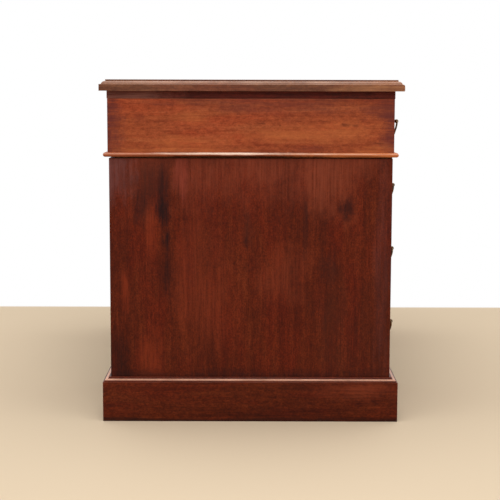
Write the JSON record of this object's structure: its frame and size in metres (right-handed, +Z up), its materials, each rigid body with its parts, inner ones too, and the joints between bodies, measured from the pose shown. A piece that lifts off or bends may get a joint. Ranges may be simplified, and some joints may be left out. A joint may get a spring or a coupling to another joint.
{
  "type": "pedestal desk",
  "caption": "Twin-pedestal writing desk in mahogany with a leather top, a kneehole, sliding frieze and pedestal drawers and swinging brass handles.",
  "frame": {"origin": "on the floor, below the middle of the drawer section", "axes": "+Z up, +Y towards the back, so the drawers open towards -Y; +X to the right of someone facing the front"},
  "size_m": [1.22, 0.6794, 0.77],
  "materials": {
    "top_mahogany": "worn french polish",
    "subframe_mahogany": "dark stain",
    "frieze_mahogany": "french polish",
    "pedestal_mahogany": "french polish",
    "pine": "bare, aged",
    "drawer_lining": "bare oak",
    "leather": "waxed skiver",
    "brass": "polished, aged"
  },
  "bodies": {
    "carcass": {"base_bead": "frieze_mahogany", "frieze_back": "frieze_mahogany", "frieze_end_left": "frieze_mahogany", "frieze_end_right": "frieze_mahogany", "frieze_floor_board": "pine", "frieze_lower_rail": "frieze_mahogany", "frieze_partitions": "frieze_mahogany", "leather_skiver": "leather", "pedestal_left_back": "pedestal_mahogany", "pedestal_left_dividers": "pine", "pedestal_left_inner_side": "pedestal_mahogany", "pedestal_left_outer_side": "pedestal_mahogany", "pedestal_left_plinth": "pedestal_mahogany", "pedestal_left_top_and_bottom": "pine", "pedestal_right_back": "pedestal_mahogany", "pedestal_right_dividers": "pine", "pedestal_right_inner_side": "pedestal_mahogany", "pedestal_right_outer_side": "pedestal_mahogany", "pedestal_right_plinth": "pedestal_mahogany", "pedestal_right_top_and_bottom": "pine", "top_frame": "top_mahogany", "top_panel": "pine", "top_subframe": "subframe_mahogany"},
    "frieze_centre_drawer": {"frieze_centre_drawer_front": "frieze_mahogany", "frieze_centre_drawer_box": "drawer_lining", "frieze_centre_drawer_fittings": "brass"},
    "frieze_centre_drawer_bail_left": {"frieze_centre_drawer_bail_left": "brass"},
    "frieze_centre_drawer_bail_right": {"frieze_centre_drawer_bail_right": "brass"},
    "frieze_left_drawer": {"frieze_left_drawer_front": "frieze_mahogany", "frieze_left_drawer_box": "drawer_lining", "frieze_left_drawer_fittings": "brass"},
    "frieze_left_drawer_bail": {"frieze_left_drawer_bail": "brass"},
    "frieze_right_drawer": {"frieze_right_drawer_front": "frieze_mahogany", "frieze_right_drawer_box": "drawer_lining", "frieze_right_drawer_fittings": "brass"},
    "frieze_right_drawer_bail": {"frieze_right_drawer_bail": "brass"},
    "left_bottom_drawer": {"left_bottom_drawer_front": "frieze_mahogany", "left_bottom_drawer_box": "drawer_lining", "left_bottom_drawer_fittings": "brass"},
    "left_bottom_drawer_bail": {"left_bottom_drawer_bail": "brass"},
    "left_middle_drawer": {"left_middle_drawer_front": "frieze_mahogany", "left_middle_drawer_box": "drawer_lining", "left_middle_drawer_fittings": "brass"},
    "left_middle_drawer_bail": {"left_middle_drawer_bail": "brass"},
    "left_top_drawer": {"left_top_drawer_front": "frieze_mahogany", "left_top_drawer_box": "drawer_lining", "left_top_drawer_fittings": "brass"},
    "left_top_drawer_bail": {"left_top_drawer_bail": "brass"},
    "right_bottom_drawer": {"right_bottom_drawer_front": "frieze_mahogany", "right_bottom_drawer_box": "drawer_lining", "right_bottom_drawer_fittings": "brass"},
    "right_bottom_drawer_bail": {"right_bottom_drawer_bail": "brass"},
    "right_middle_drawer": {"right_middle_drawer_front": "frieze_mahogany", "right_middle_drawer_box": "drawer_lining", "right_middle_drawer_fittings": "brass"},
    "right_middle_drawer_bail": {"right_middle_drawer_bail": "brass"},
    "right_top_drawer": {"right_top_drawer_front": "frieze_mahogany", "right_top_drawer_box": "drawer_lining", "right_top_drawer_fittings": "brass"},
    "right_top_drawer_bail": {"right_top_drawer_bail": "brass"}
  },
  "joints": [
    {"name": "frieze_centre_drawer_slide", "type": "slide", "parent": "carcass", "child": "frieze_centre_drawer", "axis": [0, -1, 0], "range_m": [0, 0.42]},
    {"name": "frieze_centre_drawer_bail_left_swing", "type": "hinge", "parent": "frieze_centre_drawer", "child": "frieze_centre_drawer_bail_left", "pos_m": [-0.11435, -0.3391, 0.67515], "axis": [-1, 0, 0], "range_deg": [-17.5, 112.5]},
    {"name": "frieze_centre_drawer_bail_right_swing", "type": "hinge", "parent": "frieze_centre_drawer", "child": "frieze_centre_drawer_bail_right", "pos_m": [0.11435, -0.3391, 0.67515], "axis": [-1, 0, 0], "range_deg": [-17.5, 112.5]},
    {"name": "frieze_left_drawer_slide", "type": "slide", "parent": "carcass", "child": "frieze_left_drawer", "axis": [0, -1, 0], "range_m": [0, 0.42]},
    {"name": "frieze_left_drawer_bail_swing", "type": "hinge", "parent": "frieze_left_drawer", "child": "frieze_left_drawer_bail", "pos_m": [-0.40715, -0.3391, 0.67515], "axis": [-1, 0, 0], "range_deg": [-17.5, 112.5]},
    {"name": "frieze_right_drawer_slide", "type": "slide", "parent": "carcass", "child": "frieze_right_drawer", "axis": [0, -1, 0], "range_m": [0, 0.42]},
    {"name": "frieze_right_drawer_bail_swing", "type": "hinge", "parent": "frieze_right_drawer", "child": "frieze_right_drawer_bail", "pos_m": [0.40715, -0.3391, 0.67515], "axis": [-1, 0, 0], "range_deg": [-17.5, 112.5]},
    {"name": "left_bottom_drawer_slide", "type": "slide", "parent": "carcass", "child": "left_bottom_drawer", "axis": [0, -1, 0], "range_m": [0, 0.42]},
    {"name": "left_bottom_drawer_bail_swing", "type": "hinge", "parent": "left_bottom_drawer", "child": "left_bottom_drawer_bail", "pos_m": [-0.4109, -0.3326, 0.20351], "axis": [-1, 0, 0], "range_deg": [-17.5, 112.5]},
    {"name": "left_middle_drawer_slide", "type": "slide", "parent": "carcass", "child": "left_middle_drawer", "axis": [0, -1, 0], "range_m": [0, 0.42]},
    {"name": "left_middle_drawer_bail_swing", "type": "hinge", "parent": "left_middle_drawer", "child": "left_middle_drawer_bail", "pos_m": [-0.4109, -0.3326, 0.37771], "axis": [-1, 0, 0], "range_deg": [-17.5, 112.5]},
    {"name": "left_top_drawer_slide", "type": "slide", "parent": "carcass", "child": "left_top_drawer", "axis": [0, -1, 0], "range_m": [0, 0.42]},
    {"name": "left_top_drawer_bail_swing", "type": "hinge", "parent": "left_top_drawer", "child": "left_top_drawer_bail", "pos_m": [-0.4109, -0.3326, 0.52684], "axis": [-1, 0, 0], "range_deg": [-17.5, 112.5]},
    {"name": "right_bottom_drawer_slide", "type": "slide", "parent": "carcass", "child": "right_bottom_drawer", "axis": [0, -1, 0], "range_m": [0, 0.42]},
    {"name": "right_bottom_drawer_bail_swing", "type": "hinge", "parent": "right_bottom_drawer", "child": "right_bottom_drawer_bail", "pos_m": [0.4109, -0.3326, 0.20351], "axis": [-1, 0, 0], "range_deg": [-17.5, 112.5]},
    {"name": "right_middle_drawer_slide", "type": "slide", "parent": "carcass", "child": "right_middle_drawer", "axis": [0, -1, 0], "range_m": [0, 0.42]},
    {"name": "right_middle_drawer_bail_swing", "type": "hinge", "parent": "right_middle_drawer", "child": "right_middle_drawer_bail", "pos_m": [0.4109, -0.3326, 0.37771], "axis": [-1, 0, 0], "range_deg": [-17.5, 112.5]},
    {"name": "right_top_drawer_slide", "type": "slide", "parent": "carcass", "child": "right_top_drawer", "axis": [0, -1, 0], "range_m": [0, 0.42]},
    {"name": "right_top_drawer_bail_swing", "type": "hinge", "parent": "right_top_drawer", "child": "right_top_drawer_bail", "pos_m": [0.4109, -0.3326, 0.52684], "axis": [-1, 0, 0], "range_deg": [-17.5, 112.5]}
  ]
}
